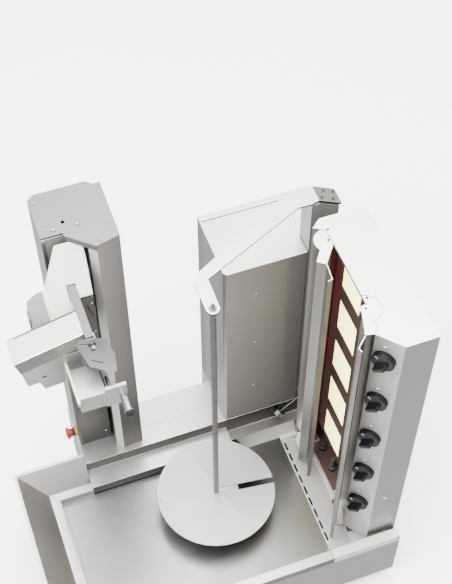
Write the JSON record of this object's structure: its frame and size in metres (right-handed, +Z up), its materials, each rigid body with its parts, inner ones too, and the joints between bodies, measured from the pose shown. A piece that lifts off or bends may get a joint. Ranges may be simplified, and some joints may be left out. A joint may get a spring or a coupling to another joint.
{
  "type": "doner kebab grill",
  "caption": "Gas doner grill with a turning skewer, a lift tower carrying a swinging round-knife head, and a sliding burner tower with wings and knobs.",
  "frame": {"origin": "centre of the base plate's outline on the floor, under the levelling feet", "axes": "+X to the right seen from the front, +Y to the back, +Z up"},
  "size_m": [1.066, 0.76, 1.363],
  "materials": {
    "sheet_steel": "satin stainless sheet, fine grain",
    "pan_steel": "satin stainless sheet with wiping marks",
    "dark_steel": "dark grey, matt",
    "head_sheet": "bright satin stainless sheet",
    "machined_steel": "turned and ground",
    "knife_steel": "ground and polished blade",
    "cast_housing": "cast, bead blasted",
    "screw_steel": "small dark screw heads",
    "brass": "turned",
    "rubber": "moulded, matt",
    "dark_plastic": "moulded, slightly sheened",
    "red_plastic": "moulded",
    "yellow_plastic": "moulded",
    "lever_steel": "polished",
    "red_enamel": "dark red heat-proof enamel",
    "ceramic": "porous cream ceramic",
    "lamp_strip": "milky lamp cover"
  },
  "bodies": {
    "base": {"base_shell": "sheet_steel", "base_front": "sheet_steel", "feet": "rubber", "pan": "pan_steel", "hopper": "pan_steel", "ledges": "sheet_steel", "splash_bar": "sheet_steel", "burner_bay": "pan_steel", "burner_rails": "dark_steel", "tower_column": "sheet_steel", "tower_panel": "dark_steel", "tower_cap": "sheet_steel", "cover_screws": "screw_steel", "guide_rails": "machined_steel", "lift_motor": "cast_housing", "housing": "sheet_steel", "control_unit": "dark_plastic", "post": "sheet_steel", "arm": "sheet_steel", "arm_bush": "brass", "estop_collar": "yellow_plastic", "turntable_bearing": "machined_steel", "turntable_motor": "cast_housing"},
    "drawer": {"fat_drawer": "sheet_steel"},
    "turntable": {"turntable_plate": "pan_steel", "turntable_hub": "machined_steel", "drive_gear": "machined_steel", "skewer": "machined_steel"},
    "pinion": {"motor_pinion": "brass"},
    "screw": {"lead_screw": "machined_steel"},
    "carriage": {"carriage": "machined_steel"},
    "head": {"head_frame": "dark_steel", "hood": "head_sheet", "scanner_box": "head_sheet", "beam": "head_sheet", "motor_cover": "head_sheet", "motor_body": "cast_housing", "gear_head": "cast_housing", "guard": "head_sheet", "scan_tray": "head_sheet", "light_rail": "head_sheet", "light_strip": "lamp_strip", "sensor": "machined_steel", "tray_bar": "head_sheet"},
    "knife": {"knife": "knife_steel"},
    "burner": {"burner_casing": "sheet_steel", "burner_frame": "red_enamel", "tiles": "ceramic", "plenums": "dark_steel", "gas_train": "dark_steel"},
    "rear_wing": {"wing_rear": "sheet_steel"},
    "front_wing": {"wing_front": "sheet_steel"},
    "gas_knob_1": {"knob_1": "dark_plastic"},
    "gas_knob_2": {"knob_2": "dark_plastic"},
    "gas_knob_3": {"knob_3": "dark_plastic"},
    "gas_knob_4": {"knob_4": "dark_plastic"},
    "gas_knob_5": {"knob_5": "dark_plastic"},
    "lever": {"clamp_lever": "lever_steel"},
    "stop_button": {"estop_button": "red_plastic"},
    "igniter": {"igniter_button": "dark_plastic"}
  },
  "joints": [
    {"name": "drawer_slide", "type": "slide", "parent": "base", "child": "drawer", "axis": [0, -1, 0], "range_m": [0, 0.35]},
    {"name": "turntable_spin", "type": "hinge", "parent": "base", "child": "turntable", "pos_m": [0.0425, -0.072, 0.33], "axis": [0, 0, 1], "continuous": true},
    {"name": "pinion_spin", "type": "hinge", "parent": "base", "child": "pinion", "pos_m": [0.1145, -0.072, 0.18], "axis": [0, 0, 1], "continuous": true},
    {"name": "carriage_lift", "type": "slide", "parent": "base", "child": "carriage", "axis": [0, 0, 1], "range_m": [-0.68, 0]},
    {"name": "screw_spin", "type": "hinge", "parent": "base", "child": "screw", "pos_m": [-0.2425, 0.3, 0.35], "axis": [0, 0, 1], "range_deg": [-9800, 10]},
    {"name": "head_swing", "type": "hinge", "parent": "carriage", "child": "head", "pos_m": [-0.209, 0.205, 1.13], "axis": [0, 0, 1], "range_deg": [0, 35]},
    {"name": "knife_spin", "type": "hinge", "parent": "head", "child": "knife", "pos_m": [-0.257, -0.06613, 1.23091], "axis": [0, -0.6018, 0.7986], "continuous": true},
    {"name": "burner_slide", "type": "slide", "parent": "base", "child": "burner", "axis": [1, 0, 0], "range_m": [0, 0.05]},
    {"name": "wing_rear_turn", "type": "hinge", "parent": "burner", "child": "rear_wing", "pos_m": [0.394, 0.032, 1.29], "axis": [0, 0, 1], "range_deg": [-40, 15]},
    {"name": "wing_front_turn", "type": "hinge", "parent": "burner", "child": "front_wing", "pos_m": [0.395, -0.201, 1.29], "axis": [0, 0, 1], "range_deg": [-60, 0]},
    {"name": "knob_1_turn", "type": "hinge", "parent": "burner", "child": "gas_knob_1", "pos_m": [0.40799, -0.30454, 0.458], "axis": [-0.7434, -0.6689, 0], "range_deg": [0, 180]},
    {"name": "knob_2_turn", "type": "hinge", "parent": "burner", "child": "gas_knob_2", "pos_m": [0.40799, -0.30454, 0.6465], "axis": [-0.7434, -0.6689, 0], "range_deg": [0, 180]},
    {"name": "knob_3_turn", "type": "hinge", "parent": "burner", "child": "gas_knob_3", "pos_m": [0.40799, -0.30454, 0.835], "axis": [-0.7434, -0.6689, 0], "range_deg": [0, 180]},
    {"name": "knob_4_turn", "type": "hinge", "parent": "burner", "child": "gas_knob_4", "pos_m": [0.40799, -0.30454, 1.0235], "axis": [-0.7434, -0.6689, 0], "range_deg": [0, 180]},
    {"name": "knob_5_turn", "type": "hinge", "parent": "burner", "child": "gas_knob_5", "pos_m": [0.40799, -0.30454, 1.212], "axis": [-0.7434, -0.6689, 0], "range_deg": [0, 180]},
    {"name": "igniter_press", "type": "slide", "parent": "burner", "child": "igniter", "axis": [0.7434, 0.6689, 0], "range_m": [0, 0.003], "stiffness_N_per_m": 900},
    {"name": "stop_press", "type": "slide", "parent": "base", "child": "stop_button", "axis": [1, 0, 0], "range_m": [0, 0.004], "stiffness_N_per_m": 1500},
    {"name": "lever_turn", "type": "hinge", "parent": "base", "child": "lever", "pos_m": [0.405, 0.137, 0.373], "axis": [0, 1, 0], "range_deg": [0, 40]}
  ],
  "couplings": [
    {"joint": "pinion_spin", "follows": "turntable_spin", "ratio": -3},
    {"joint": "screw_spin", "follows": "carriage_lift", "rad_per_m": 251.33}
  ]
}
